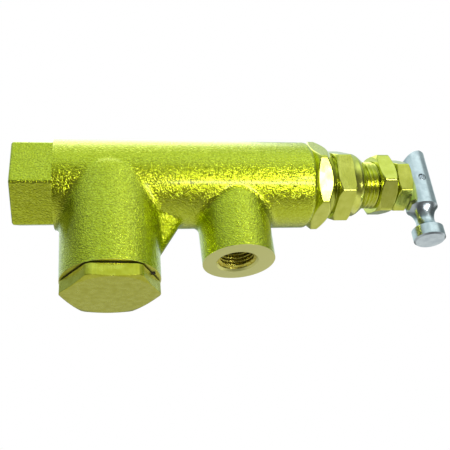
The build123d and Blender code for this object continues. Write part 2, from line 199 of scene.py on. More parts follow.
@dataclass(frozen=True)
class Zone:
    """Machined part of a casting: a bore and the end face round it.

    The bore counts where it is deeper along the axis than inner_mm, and the face beyond end_mm.
    """

    centre_mm: Place
    axis: Place
    bore_mm: float
    inner_mm: float
    boss_mm: float
    end_mm: float

    def mask(self, tree: Tree, place: Socket) -> Socket:
        """Build the mask, 1 where the surface is machined.

        The distance from the axis is the length of the part of the place vector across the
        axis, and the depth is its part along the axis.

        Args:
            tree: The material's node tree.
            place: Object coordinates.

        Returns:
            Socket with 0 or 1.
        """
        centre = tuple(value * MM for value in self.centre_mm)
        offset = add_node(
            tree, "ShaderNodeVectorMath", {"operation": "SUBTRACT", 1: centre}, {0: place}
        ).outputs["Vector"]
        depth = add_node(
            tree, "ShaderNodeVectorMath", {"operation": "DOT_PRODUCT", 1: self.axis}, {0: offset}
        ).outputs["Value"]
        across = tuple(1.0 - abs(value) for value in self.axis)
        flat = add_node(tree, "ShaderNodeVectorMath", {"operation": "MULTIPLY", 1: across}, {0: offset})
        radius = add_node(
            tree, "ShaderNodeVectorMath", {"operation": "LENGTH"}, {0: flat.outputs["Vector"]}
        ).outputs["Value"]
        parts = []
        for reach, start in ((self.bore_mm, self.inner_mm), (self.boss_mm, self.end_mm)):
            near = add_node(tree, "ShaderNodeMath", {"operation": "LESS_THAN", 1: reach * MM}, {0: radius})
            far = add_node(tree, "ShaderNodeMath", {"operation": "GREATER_THAN", 1: start * MM}, {0: depth})
            links = {0: near.outputs[0], 1: far.outputs[0]}
            parts.append(add_node(tree, "ShaderNodeMath", {"operation": "MULTIPLY"}, links).outputs[0])
        links = {0: parts[0], 1: parts[1]}
        return add_node(tree, "ShaderNodeMath", {"operation": "MAXIMUM"}, links).outputs[0]


@dataclass(frozen=True)
class Finish:
    """What every finish has: its colours, its gloss and its layers of relief.

    light and deep are the colours of the surface's high and low patches, which noise of
    patch_mm mixes, and roughness is that of each. lacquer is the weight of a clear coat.
    machined_relief is the share of the relief that is left where the surface is machined.
    """

    name: str
    light: str
    deep: str
    roughness: tuple[float, float]
    patch_mm: float
    metallic: float = 1.0
    grain: tuple[Grain, ...] = ()
    zones: tuple[Zone, ...] = ()
    machined_light: str = "#E0E084"
    machined_roughness: float = 0.3
    machined_relief: float = 0.15
    lacquer: float = 0.0
    lacquer_roughness: float = 0.14
    patch_fade: Fade = Fade(0.36, 0.64, 0.0, 1.0)
    grain_roughness: float = 0.55

    def patches(self, tree: Tree, place: Socket) -> Socket:
        """Build the patches: noise whose middle range is spread from 0 to 1.

        Args:
            tree: The material's node tree.
            place: Object coordinates.

        Returns:
            Socket with 0 on a low patch and 1 on a high one.
        """
        scale = 1 / (self.patch_mm * MM)
        noise = add_node(tree, "ShaderNodeTexNoise", {"Scale": scale, "Detail": 4.0}, {"Vector": place})
        return add_node(
            tree, "ShaderNodeMapRange", self.patch_fade.settings(), {"Value": noise.outputs["Fac"]}
        ).outputs["Result"]

    def machined(self, tree: Tree, place: Socket) -> Socket | None:
        """Join the masks of the machined zones.

        Args:
            tree: The material's node tree.
            place: Object coordinates.

        Returns:
            Socket with 1 where the surface is machined, or None without zones.
        """
        joined = None
        for zone in self.zones:
            mask = zone.mask(tree, place)
            if joined is not None:
                links = {0: joined, 1: mask}
                mask = add_node(tree, "ShaderNodeMath", {"operation": "MAXIMUM"}, links).outputs[0]
            joined = mask
        return joined

    def colour_and_gloss(
        self, tree: Tree, patches: Socket, machined: Socket | None
    ) -> tuple[Socket, Socket]:
        """Mix the base colour and the roughness over the patches and the machined zones.

        Args:
            tree: The material's node tree.
            patches: Socket of the patches.
            machined: Socket of the machined zones, or None.

        Returns:
            Sockets of the colour and the roughness.
        """
        colour = add_node(
            tree,
            "ShaderNodeMix",
            {"data_type": "RGBA", COLOUR_A: srgb(self.deep), COLOUR_B: srgb(self.light)},
            {SHARE: patches},
        ).outputs[COLOUR_OUT]
        on_high, on_low = self.roughness
        gloss = add_node(
            tree, "ShaderNodeMapRange", Fade(0.0, 1.0, on_low, on_high).settings(), {"Value": patches}
        ).outputs["Result"]
        if machined is not None:
            colour = add_node(
                tree,
                "ShaderNodeMix",
                {"data_type": "RGBA", COLOUR_B: srgb(self.machined_light)},
                {SHARE: machined, COLOUR_A: colour},
            ).outputs[COLOUR_OUT]
            gloss = add_node(
                tree,
                "ShaderNodeMix",
                {"data_type": "FLOAT", NUMBER_B: self.machined_roughness},
                {SHARE: machined, NUMBER_A: gloss},
            ).outputs[NUMBER_OUT]
        return colour, gloss

    def relief(self, tree: Tree, place: Socket, machined: Socket | None) -> Socket | None:
        """Stack the layers of relief into one bumped normal.

        Args:
            tree: The material's node tree.
            place: Object coordinates.
            machined: Socket of the machined zones, or None.

        Returns:
            Normal socket, or None where the finish is smooth.
        """
        links = {}
        if machined is not None:
            links["Strength"] = add_node(
                tree,
                "ShaderNodeMath",
                {"operation": "MULTIPLY_ADD", 1: self.machined_relief - 1.0, 2: 1.0},
                {0: machined},
            ).outputs[0]
        for layer in self.grain:
            scale = tuple(1 / (layer.size_mm * MM * stretch) for stretch in layer.stretch)
            spread = add_node(tree, "ShaderNodeMapping", {"Scale": scale}, {"Vector": place})
            pattern = add_node(
                tree,
                "ShaderNodeTexNoise",
                {"Scale": 1.0, "Detail": layer.detail, "Roughness": self.grain_roughness},
                {"Vector": spread.outputs["Vector"]},
            )
            links["Height"] = pattern.outputs["Fac"]
            values = {"Distance": layer.depth_mm * MM, "Strength": 1.0}
            links["Normal"] = add_node(tree, "ShaderNodeBump", values, links).outputs["Normal"]
        return links.get("Normal")

    def material(self) -> bpy.types.Material:
        """Build the finish's material.

        Returns:
            A material on Object coordinates with one Principled shader.
        """
        material = bpy.data.materials.new(self.name)
        tree = empty_tree(material)
        place = add_node(tree, "ShaderNodeTexCoord", {}).outputs["Object"]
        machined = self.machined(tree, place)
        colour, gloss = self.colour_and_gloss(tree, self.patches(tree, place), machined)
        links = {"Base Color": colour, "Roughness": gloss}
        normal = self.relief(tree, place, machined)
        if normal is not None:
            links["Normal"] = normal
        values = {
            "Metallic": self.metallic,
            "Coat Weight": self.lacquer,
            "Coat Roughness": self.lacquer_roughness,
        }
        shader = add_node(tree, "ShaderNodeBsdfPrincipled", values, links)
        add_node(tree, "ShaderNodeOutputMaterial", {}, {"Surface": shader.outputs[0]})
        return material


# Surfaces


def grid_object(
    name: str, points: np.ndarray, seam: Seam, material: bpy.types.Material
) -> bpy.types.Object:
    """Turn a grid of points into a closed mesh object.

    Row by row, the second index runs once round and always closes on itself. The first index
    either closes on itself too, or ends in a pole at each end, where the row is one point.

    Args:
        name: The object's name.
        points: Array of rows by columns by three, in metres.
        seam: Whether the first and last rows join or close on poles.
        material: Finish of the surface.

    Returns:
        The linked object, with its place in its mesh.
    """
    rows, columns = points.shape[:2]
    index = np.arange(rows * columns).reshape(rows, columns)
    if seam is Seam.RING:
        index = np.vstack([index, index[:1]])
    index = np.hstack([index, index[:, :1]])
    quads = np.stack([index[:-1, :-1], index[1:, :-1], index[1:, 1:], index[:-1, 1:]], axis=-1)
    mesh = bpy.data.meshes.new(name)
    mesh.from_pydata(points.reshape(-1, 3), [], quads.reshape(-1, 4))
    mesh.validate()
    mesh.update()
    piece = linked(name, mesh)
    heal_and_turn_out(piece)
    mesh.materials.append(material)
    return piece


def heal_and_turn_out(piece: bpy.types.Object) -> None:
    """Merge points that coincide, such as a pole's row, and point every face outwards.

    Args:
        piece: Mesh object, changed in place.
    """
    touching_mm = 0.001
    work = bmesh.new()
    work.from_mesh(piece.data)
    bmesh.ops.remove_doubles(work, verts=work.verts, dist=touching_mm * MM)
    bmesh.ops.recalc_face_normals(work, faces=work.faces)
    work.to_mesh(piece.data)
    work.free()
    piece.data.shade_smooth()


def smooth_least(values: np.ndarray, sharpness: float) -> np.ndarray:
    """Take the smallest value along the last axis, with the change from one to the next rounded.

    It is minus the logarithm of the sum of exp(-sharpness * value), over sharpness.

    Args:
        values: Distances in millimetres.
        sharpness: Larger is sharper, in 1/mm.

    Returns:
        The rounded minimum.
    """
    least = values.min(axis=-1, keepdims=True)
    total = np.exp(-sharpness * (values - least)).sum(axis=-1)
    return least[..., 0] - np.log(total) / sharpness


def hexagon_radius(angles: np.ndarray, across_flats: float, turn: float, sharpness: float) -> np.ndarray:
    """Distance from the axis to a hexagon's side in each direction.

    Each flat lies at across_flats / 2, so its distance in a direction is that over the cosine
    of the angle to the flat's normal, and the nearest flat counts. A flat that faces away, or
    nearly so, is taken as far off.

    Args:
        angles: Directions in radians.
        across_flats: Wrench size in millimetres.
        turn: Angle of the first corner in degrees.
        sharpness: How crisp the corners are, in 1/mm.

    Returns:
        Radius in millimetres for each angle.
    """
    least_cosine = 0.2
    far_off = 4 * across_flats
    normals = np.radians(turn + 30 + 60 * np.arange(6))
    cosine = np.cos(angles[..., None] - normals)
    reach = np.where(cosine > least_cosine, across_flats / 2 / np.maximum(cosine, least_cosine), far_off)
    return smooth_least(reach, sharpness)


def fill(corners: Profile, steps: list[float]) -> np.ndarray:
    """Divide a profile's straight runs, keeping its corners.

    Args:
        corners: Points as (place along the axis, radius) in millimetres.
        steps: Longest division of each run in millimetres, or infinity for one piece.

    Returns:
        Array of points by two. Each corner is there twice, a hair apart, so that it stays crisp.
    """
    hair_mm, widest_hair = 0.02, 0.2
    points = []
    for start, end, step in zip(corners[:-1], corners[1:], steps):
        a, b = np.array(start, float), np.array(end, float)
        length = float(np.linalg.norm(b - a))
        count = max(1, math.ceil(length / step))
        hair = min(hair_mm / length, widest_hair)
        share = np.concatenate([[hair], np.linspace(0, 1, count + 1)[1:-1], [1 - hair]])
        points.append(a + share[:, None] * (b - a))
    return np.vstack(points)


@dataclass(frozen=True)
class HexagonBand:
    """Stretch along the axis where a hexagon limits the radius.

    turn is the angle of the first corner in degrees and sharpness how crisp the corners are, in
    1/mm. The flats' edges on the turned profile are crisper by the factor edges. A run of the
    profile is divided finely from below_flat under the flats outwards.
    """

    start: float
    end: float
    across_flats: float
    turn: float
    sharpness: float = 9.0
    edges: float = 1.6
    below_flat: float = 1.5


@dataclass(frozen=True)
class ThreadBand:
    """Stretch along the axis that carries a V thread, cut inwards from the profile.

    radii are the limits between which the profile is cut, fade is the length over which the
    cut comes and goes, flat widens the flats at crest and root, and divisions is the number of
    steps that draw one pitch.
    """

    start: float
    end: float
    pitch: float
    depth: float
    radii: tuple[float, float]
    fade: float = 0.6
    flat: float = 0.125
    divisions: int = 16


@dataclass(frozen=True)
class TurnedPiece:
    """A turned piece: a profile carried round an axis, cut by a hexagon and a thread.

    step is the profile's longest division in millimetres where the hexagon cuts it, and columns
    is the number of divisions round the axis.
    """

    name: str
    body: str = "housing_body"
    slot: str = "turned_brass"
    axis: Axis = Axis.ALONG_BARREL
    centre: Place = BARREL_AXIS
    profile: Profile = ()
    hexagon: HexagonBand | None = None
    thread: ThreadBand | None = None
    step: float = 0.35
    columns: int = 288
    seam: Seam = Seam.RING

    def corners(self) -> Profile:
        """Give the profile as (place along the axis, radius), closed or from pole to pole."""
        return self.profile

    def radii(self, profile: np.ndarray, angles: np.ndarray) -> np.ndarray:
        """Work out the radius at each point of the profile and each angle.

        It is the profile's radius, no larger than the hexagon where there is one, less the
        thread's depth times a wave that climbs one pitch a turn: the wave is the distance to
        the nearest crest over half a pitch, flattened at crest and root.

        Args:
            profile: Points by two, along the axis and radius.
            angles: Directions in radians.

        Returns:
            Array of points by angles, in millimetres.
        """
        hair, well_inside = 1e-6, 1.0
        along = profile[:, :1]
        radius = np.repeat(profile[:, 1:], len(angles), axis=1)
        if self.hexagon is not None:
            band = self.hexagon
            limit = hexagon_radius(angles, band.across_flats, band.turn, band.sharpness)[None, :]
            both = np.stack([radius, np.broadcast_to(limit, radius.shape)], axis=-1)
            inside = (along >= band.start - hair) & (along <= band.end + hair)
            near_flats = radius > limit.min() - well_inside
            least = smooth_least(both, band.sharpness * band.edges)
            radius = np.where(inside & near_flats, least, radius)
        if self.thread is not None:
            band = self.thread
            phase = (along / band.pitch - angles[None, :] / TURN) % 1.0
            wave = np.clip((1 + 2 * band.flat) * np.abs(2 * phase - 1) - band.flat, 0, 1)
            run_in = np.clip((along - band.start) / band.fade, 0, 1)
            run_out = np.clip((band.end - along) / band.fade, 0, 1)
            cut = (profile[:, 1:] > band.radii[0]) & (profile[:, 1:] < band.radii[1])
            radius = radius - band.depth * wave * run_in * run_out * cut
        return radius

    def run_step(self, start: tuple[float, float], end: tuple[float, float]) -> float:
        """Find how finely a run of the profile is divided.

        It is a share of the pitch where it is threaded, the piece's own step where a hexagon
        may cut it, and one piece elsewhere.

        Args:
            start: First corner of the run.
            end: Its last corner.

        Returns:
            Longest division in millimetres, or infinity for one piece.
        """
        middle, radius = (start[0] + end[0]) / 2, (start[1] + end[1]) / 2
        band = self.thread
        if band and band.start <= middle <= band.end and band.radii[0] < radius < band.radii[1]:
            return band.pitch / band.divisions
        band = self.hexagon
        if band and band.start <= middle <= band.end:
            if max(start[1], end[1]) > band.across_flats / 2 - band.below_flat:
                return self.step
        return math.inf

    def build(self, material: bpy.types.Material) -> bpy.types.Object:
        """Make the mesh, put it on its axis and let it ride.

        Args:
            material: Finish of the piece.

        Returns:
            The finished object.
        """
        corners = self.corners()
        if self.seam is Seam.RING:
            corners += corners[:1]
        steps = [self.run_step(start, end) for start, end in zip(corners[:-1], corners[1:])]
        profile = fill(corners, steps)
        angles = np.linspace(0, TURN, self.columns, endpoint=False)
        radius = self.radii(profile, angles)
        along = np.repeat(profile[:, :1], self.columns, axis=1)
        across, up = radius * np.cos(angles), radius * np.sin(angles)
        order = {
            Axis.ALONG_BARREL: (along, across, up),
            Axis.UPRIGHT: (across, up, along),
            Axis.BACKWARD: (across, along, up),
        }[self.axis]
        points = (np.stack(order, axis=-1) + np.array(self.centre)) * MM
        piece = grid_object(self.name, points, self.seam, material)
        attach(piece, self.body)
        return piece


@dataclass
class RaggedGasket:
    """Pressed sheet gasket that the tightened cap has squeezed out unevenly.

    swell is the most that a blob can stand out. The edge is a sum of sine waves whose orders
    start at longest_wave, and each has twice its order of waves round the ring.
    """

    centre: Place = CHECK_AXIS
    low: float = -39.3
    high: float = -38.8
    clearance: float = 0.01
    inner: float = 13.45
    outer: float = 14.5
    rounding: float = 0.2
    rounding_rows: int = 7
    swell: float = 1.4
    columns: int = 480
    waves: int = 26
    longest_wave: int = 3
    wave_heights: tuple[float, float] = (0.4, 1.0)
    narrowing: int = 3
    seed: int = 7

    def edge(self, angles: np.ndarray) -> np.ndarray:
        """Radius of the ragged edge: the outer radius and blobs where a sum of sine waves peaks.

        The sum is scaled so that its largest value, up or down, is 1, and its positive part to
        the third power keeps the blobs few and narrow.

        Args:
            angles: Directions in radians.

        Returns:
            Radius in millimetres for each angle.
        """
        random = np.random.default_rng(self.seed)
        order = np.arange(self.longest_wave, self.longest_wave + self.waves)
        phase = random.uniform(0, TURN, self.waves)
        height = random.uniform(*self.wave_heights, self.waves) / np.sqrt(order)
        wave = (height * np.sin(angles[:, None] * order * 2 + phase)).sum(axis=1)
        return self.outer + self.swell * np.clip(wave / np.abs(wave).max(), 0, 1) ** self.narrowing

    def build(self, material: bpy.types.Material) -> bpy.types.Object:
        """Make the ring: a rounded outer edge that follows the ragged radius.

        Args:
            material: Finish of the gasket.

        Returns:
            The finished object.
        """
        angles = np.linspace(0, TURN, self.columns, endpoint=False)
        edge = self.edge(angles)
        middle = (self.low + self.high) / 2
        half = (self.high - self.low) / 2 - self.clearance
        round_angle = np.linspace(-math.pi / 2, math.pi / 2, self.rounding_rows)
        heights = np.concatenate([[-half], half * np.sin(round_angle), [half]])
        reach = np.concatenate([[0.0], self.rounding * np.cos(round_angle), [0.0]])
        rows = edge[None, :] - self.rounding + reach[:, None]
        rows[0], rows[-1] = self.inner, self.inner
        across, up = rows * np.cos(angles), rows * np.sin(angles)
        level = np.repeat(middle + heights[:, None], self.columns, axis=1)
        points = (np.stack([across, up, level], axis=-1) + np.array(self.centre)) * MM
        piece = grid_object("gasket_sheet_ring", points, Seam.RING, material)
        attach(piece, "housing_body")
        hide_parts("cap_gasket")
        return piece


@dataclass
class CoiledPin:
    """Coiled spring pin through the lever, its rolled strip showing as a spiral in each end."""

    centre: Place = PIN_CENTRE
    radius: float = 1.38
    half_length: float = 5.65
    chamfer: float = 0.25
    strip: float = 0.5
    groove_depth: float = 0.4
    groove_width: float = 0.09
    rows: int = 26
    columns: int = 96

    def end_depth(self, radius: np.ndarray, angles: np.ndarray) -> np.ndarray:
        """Depth of the spiral groove in an end face.

        The groove's radius grows by the strip's thickness each turn, and its section is a bell
        curve of the distance to the nearest turn. It fades out towards the middle and towards
        the chamfer.

        Args:
            radius: Column of distances from the axis in millimetres.
            angles: Directions in radians.

        Returns:
            Array of radii by angles, in millimetres.
        """
        turn = (radius / self.strip - angles[None, :] / TURN) % 1.0
        away = (turn - 0.5) * self.strip
        bell = np.exp(-((away / self.groove_width) ** 2))
        edge = self.radius - self.chamfer
        fade = np.clip((edge - radius) / self.chamfer, 0, 1) * np.clip(radius / self.strip, 0, 1)
        return self.groove_depth * bell * fade

    def build(self, material: bpy.types.Material) -> bpy.types.Object:
        """Make the pin from one end's middle to the other's.

        Args:
            material: Finish of the pin.

        Returns:
            The finished object.
        """
        angles = np.linspace(0, TURN, self.columns, endpoint=False)
        face = np.linspace(0, self.radius - self.chamfer, self.rows)[:, None]
        front = -self.half_length + self.end_depth(face, angles)
        rim = np.full((1, self.columns), self.half_length - self.chamfer)
        along = np.vstack([front, -rim, rim, -front[::-1]])
        side = np.full((1, 1), self.radius)
        radius = np.vstack([face, side, side, face[::-1]])
        points = np.stack([radius * np.cos(angles), along, radius * np.sin(angles)], axis=-1)
        points = (points + np.array(self.centre)) * MM
        piece = grid_object("lever_coiled_pin", points, Seam.POLES, material)
        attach(piece, "lever")
        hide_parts("lever_pin")
        return piece


@dataclass(frozen=True)
class PipeThread:
    """Taper pipe thread of one port: a thin liner that stands out of the bore's wall.

    mouth and root are the places of the thread's outer and inner end along the port's axis, and
    wall is the bore's radius.
    The radius shrinks inwards by a thirty-second of the length, as in a taper of 1 in 16.
    """

    name: str
    axis: Axis
    centre: Place
    mouth: float
    root: float
    wall: float
    pitch: float
    taper: float = 1 / 32
    proud: float = 0.03
    backing: float = 0.3
    ridge_to_pitch: float = 0.66
    cut_inside_wall: float = 1.0
    cut_outside_wall: float = 0.05
    columns: int = 192

    def lay_out(self) -> TurnedPiece:
        """Lay out the threaded liner.

        Returns:
            The turned piece, not yet built.
        """
        start, end = min(self.mouth, self.root), max(self.mouth, self.root)
        narrow = self.wall - (end - start) * self.taper
        near, far = (narrow, self.wall) if self.mouth > self.root else (self.wall, narrow)
        back = self.wall + self.backing
        cut = (self.wall - self.cut_inside_wall, self.wall + self.cut_outside_wall)
        ridge = self.ridge_to_pitch * self.pitch
        profile = ((start, near - self.proud), (end, far - self.proud), (end, back), (start, back))
        thread = ThreadBand(start, end, self.pitch, ridge, cut, self.pitch / 2)
        return TurnedPiece(
            self.name, axis=self.axis, centre=self.centre,
            profile=profile, thread=thread, columns=self.columns,
        )


@dataclass
class Ports:
    """The pipe threads in the three ports."""

    threads: tuple[PipeThread, ...] = (
        PipeThread("pilot_port_thread", Axis.UPRIGHT, PILOT_PORT_AXIS, -31.6, -20.0, 6.75, pitch=1.411),
        PipeThread("inlet_thread", Axis.ALONG_BARREL, BARREL_AXIS, 0.6, 14.7, 9.4, pitch=1.814),
        PipeThread("outlet_thread", Axis.BACKWARD, OUTLET_CENTRE, 23.7, 9.2, 9.4, pitch=1.814),
    )

    def build(self, material: bpy.types.Material) -> list[bpy.types.Object]:
        """Make the three liners.

        Args:
            material: Finish of the cut thread.

        Returns:
            The finished objects.
        """
        return [thread.lay_out().build(material) for thread in self.threads]


@dataclass(frozen=True)
class LockNut(TurnedPiece):
    """Hexagon nut whose corners are turned off towards both faces.

    start_face and end_face are the radii of its faces, and rim is the widest radius.
    """

    bore: float = 9.13
    start_face: float = 11.0
    rim_start: float = 134.71
    rim: float = 12.3
    rim_end: float = 139.19
    end_face: float = 11.0

    def corners(self) -> Profile:
        """Give the profile from the bore at the start round to the bore at the end."""
        start, end = self.hexagon.start, self.hexagon.end
        return (
            (start, self.bore), (start, self.start_face), (self.rim_start, self.rim),
            (self.rim_end, self.rim), (end, self.end_face), (end, self.bore),
        )


@dataclass(frozen=True)
class SpringHousing(TurnedPiece):
    """Threaded sleeve with its hexagon flange and coned collar.

    Each chamfer is its length along the axis and the radius that it leaves on the face, and
    shoulder and nose are corners of the collar's profile. The profile is divided for the thread
    from fine_from on.
    """

    name: str = "spring_housing"
    columns: int = 384
    hexagon: HexagonBand = HexagonBand(116.3, 122.6, across_flats=25.1, turn=42.0)
    thread: ThreadBand = ThreadBand(113.6, 116.3, pitch=1.5875, depth=0.8, radii=(10.5, 11.2), fade=0.3)
    start: float = 92.3
    bore: float = 9.13
    sleeve: float = 10.97
    sleeve_chamfer: float = 0.8
    fine_from: float = 113.5
    inner_chamfer: tuple[float, float] = (1.0, 12.9)
    flange: float = 14.49
    outer_chamfer: tuple[float, float] = (0.5, 13.7)
    collar: float = 12.1
    collar_end: float = 125.4
    shoulder: tuple[float, float] = (126.4, 11.6)
    nose: tuple[float, float] = (128.6, 9.9)

    def corners(self) -> Profile:
        """Give the profile from the sleeve's inner end over the flange to the nose."""
        inner, outer = self.hexagon.start, self.hexagon.end
        inner_length, inner_face = self.inner_chamfer
        outer_length, outer_face = self.outer_chamfer
        return (
            (self.start, self.bore), (self.start, self.sleeve - self.sleeve_chamfer),
            (self.start + self.sleeve_chamfer, self.sleeve), (self.fine_from, self.sleeve),
            (inner, self.sleeve), (inner, inner_face), (inner + inner_length, self.flange),
            (outer - outer_length, self.flange), (outer, outer_face), (outer, self.collar),
            (self.collar_end, self.collar), self.shoulder, self.nose, (self.nose[0], self.bore),
        )


@dataclass(frozen=True)
class AdjustingScrew(TurnedPiece):
    """Hollow adjusting screw: its thread, its neck and its hexagon head with the stem's hole.

    The profile is divided for the thread from fine_from on, and the shank inside that is plain.
    """

    name: str = "adjusting_screw_threaded"
    body: str = "screw"
    columns: int = 360
    hexagon: HexagonBand = HexagonBand(141.5, 147.0, across_flats=18.4, turn=44.0)
    thread: ThreadBand = ThreadBand(126.2, 139.7, pitch=1.5875, depth=0.86, radii=(8.9, 9.2))
    start: float = 112.0
    shank: float = 9.1
    start_chamfer: float = 0.8
    fine_from: float = 126.0
    shank_end: float = 139.9
    neck_start: float = 140.0
    neck: float = 8.3
    head: float = 10.62
    head_face: float = 9.6
    head_chamfer: float = 0.6
    stem_hole: float = 4.06
    spring_bore: float = 6.2
    bore_bottom: float = 138.2

    def corners(self) -> Profile:
        """Give the profile from the inner end over the head and back through the bore."""
        low, high = self.hexagon.start, self.hexagon.end
        return (
            (self.start, self.shank - self.start_chamfer), (self.start + self.start_chamfer, self.shank),
            (self.fine_from, self.shank), (self.shank_end, self.shank), (self.neck_start, self.neck),
            (low, self.neck), (low, self.head_face), (low + self.head_chamfer, self.head),
            (high - self.head_chamfer, self.head), (high, self.head_face), (high, self.stem_hole),
            (self.bore_bottom, self.stem_hole), (self.bore_bottom, self.spring_bore),
            (self.start, self.spring_bore),
        )


@dataclass
class PressureSetting:
    """The nuts, the housing and the adjusting screw, each with the CAD node that it stands for."""

    stands_for: tuple[tuple[str, TurnedPiece], ...] = (
        (
            "housing_lock_nut",
            LockNut(
                "barrel_lock_nut", hexagon=HexagonBand(BARREL_END, 115.0, across_flats=29.7, turn=55.5),
                bore=11.0, start_face=14.2, rim_start=108.9, rim=17.0, rim_end=111.2, end_face=13.1,
                columns=432,
            ),
        ),
        ("pilot_housing", SpringHousing()),
        ("adjusting_screw", AdjustingScrew()),
        (
            "adjusting_lock_nut",
            LockNut(
                "screw_lock_nut", "screw_lock_nut",
                hexagon=HexagonBand(133.9, 140.0, across_flats=21.7, turn=23.5), columns=384,
            ),
        ),
    )

    def build(self, material: bpy.types.Material) -> list[bpy.types.Object]:
        """Make the four pieces and let each stand for its CAD node.

        Args:
            material: Finish of the turned brass.

        Returns:
            The finished objects.
        """
        pieces = []
        for node, piece in self.stands_for:
            made = piece.build(material)
            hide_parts(node)
            pieces.append(made)
        return pieces


@dataclass(frozen=True)
class CheckValveCap(TurnedPiece):
    """Hexagon cap under the check valve, with soft turned corners, its plug and the stem's guide."""

    name: str = "check_cap_hexagon"
    axis: Axis = Axis.UPRIGHT
    centre: Place = CHECK_AXIS
    columns: int = 432
    seam: Seam = Seam.POLES
    hexagon: HexagonBand = HexagonBand(-43.7, -39.3, across_flats=29.6, turn=4.5, sharpness=7.0)
    bottom_face: float = 14.5
    bottom_chamfer: float = 0.5
    corner: float = 16.6
    plug: float = 13.37
    plug_top: float = -31.3
    plug_chamfer: float = 0.8
    guide: float = 5.4
    guide_top: float = -22.1
    stem_hole: float = 3.06
    hole_bottom: float = -34.1

    def corners(self) -> Profile:
        """Give the profile from the bottom's middle over the plug to the hole's bottom."""
        bottom, seat = self.hexagon.start, self.hexagon.end
        return (
            (bottom, 0.0), (bottom, self.bottom_face), (bottom + self.bottom_chamfer, self.corner),
            (seat, self.corner), (seat, self.plug), (self.plug_top - self.plug_chamfer, self.plug),
            (self.plug_top, self.plug - self.plug_chamfer), (self.plug_top, self.guide),
            (self.guide_top, self.guide), (self.guide_top, self.stem_hole),
            (self.hole_bottom, self.stem_hole), (self.hole_bottom, 0.0),
        )

    def build(self, material: bpy.types.Material) -> bpy.types.Object:
        """Make the cap and let it stand for its CAD node.

        Args:
            material: Finish of the cap.

        Returns:
            The finished object.
        """
        piece = super().build(material)
        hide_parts("check_cap")
        return piece


# Finishes of this valve

# Cast bronze, shot blasted, under a thin clear coat: a warm gold with a fine, even sparkle over
# soft swells. Its finest grain, taken as 0.2 mm, wouldn't show and is drawn at 0.45 mm.
CAST_BRONZE = Finish(
    name="cast_bronze_shot_blasted", light="#D8E640", deep="#BECA10",
    roughness=(0.13, 0.21), patch_mm=0.6,
    grain=(Grain(5.0, 0.16), Grain(1.1, 0.13), Grain(0.45, 0.22, 1.0)), lacquer=0.5,
    zones=(
        Zone(PILOT_PORT_AXIS, DOWN, bore_mm=8.6, inner_mm=17.0, boss_mm=14.2, end_mm=32.36),
        Zone(CHECK_AXIS, DOWN, bore_mm=14.6, inner_mm=24.0, boss_mm=18.5, end_mm=38.76),
        Zone(BARREL_AXIS, TO_INLET, bore_mm=11.2, inner_mm=-40.0, boss_mm=20.0, end_mm=-0.04),
        Zone(OUTLET_CENTRE, BACK, bore_mm=11.4, inner_mm=8.0, boss_mm=15.0, end_mm=24.96),
        Zone(BARREL_AXIS, TO_LEVER, bore_mm=12.6, inner_mm=50.0, boss_mm=18.0, end_mm=107.15),
    ),
)
# Brass bar, turned bright, under a thin clear coat: a smooth pale gold whose faint rings round
# the axis draw reflections out. The tool's marks, taken as 0.1 mm, are drawn at 0.3 mm to show.
TURNED_BRASS = Finish(
    name="brass_bar_turned", light="#DEE464", deep="#D0D650",
    roughness=(0.18, 0.26), patch_mm=3.4,
    grain=(Grain(0.3, 0.02, 1.0, (1.0, 12.0, 12.0)),), lacquer=0.5,
)
# Brass cap with milled flats under less of a clear coat: a duller, deeper gold, with upright
# streaks and faint dents. The cutter's marks, taken as 0.2 mm, are drawn at 0.5 mm to show.
CAP_BRASS = Finish(
    name="brass_cap_milled", light="#CED248", deep="#C2C430",
    roughness=(0.26, 0.36), patch_mm=2.2,
    grain=(Grain(0.5, 0.05, 2.0, (1.0, 1.0, 14.0)), Grain(0.9, 0.02, 3.0)), lacquer=0.2,
)
# Thread cut in a port's wall, with no clear coat: a browner, half dull gold on the ridges.
CUT_THREAD = Finish(
    name="brass_thread_cut", light="#D6D262", deep="#B8A83A",
    roughness=(0.22, 0.34), patch_mm=0.8,
)
# Steel, turned and plated with zinc: a cool, pale grey with a soft shine and a slight unevenness.
ZINC_PLATE = Finish(
    name="steel_zinc_plated", light="#D4E0E4", deep="#C2CED4",
    roughness=(0.2, 0.27), patch_mm=3.0,
    grain=(Grain(0.35, 0.006, 2.0),),
)
# Stainless bar turned on a lathe: a neutral grey with faint rings that soften its shine.
STAINLESS = Finish(
    name="stainless_turned", light="#C6C6C2", deep="#B4B4B0",
    roughness=(0.25, 0.32), patch_mm=2.0,
    grain=(Grain(0.4, 0.008, 2.0, (1.0, 8.0, 8.0)),),
)
# Drawn spring wire with no plating: a dark, half dull grey.
SPRING_STEEL = Finish(
    name="spring_steel_drawn", light="#8C8C8E", deep="#6E6E70",
    roughness=(0.3, 0.42), patch_mm=1.5,
)
# Rolled strip, plated: brighter than the wire, so that the spiral in its end shows dark.
PIN_STEEL = Finish(
    name="pin_steel_plated", light="#D8DEE2", deep="#B8C2CA",
    roughness=(0.16, 0.26), patch_mm=0.8,
)
# Nitrile rubber from a mould: black with a broad, weak shine.
NITRILE = Finish(
    name="nitrile_moulded", light="#1E1E1C", deep="#141413",
    metallic=0.0, roughness=(0.5, 0.62), patch_mm=1.2,
    grain=(Grain(0.6, 0.02, 2.0),),
)
# Pressed fibre sheet: near black and brown, matt, with a rough surface.
GASKET_SHEET = Finish(
    name="gasket_sheet_pressed", light="#3A3420", deep="#17140A",
    metallic=0.0, roughness=(0.6, 0.8), patch_mm=0.7,
    grain=(Grain(0.35, 0.05, 2.0),),
)

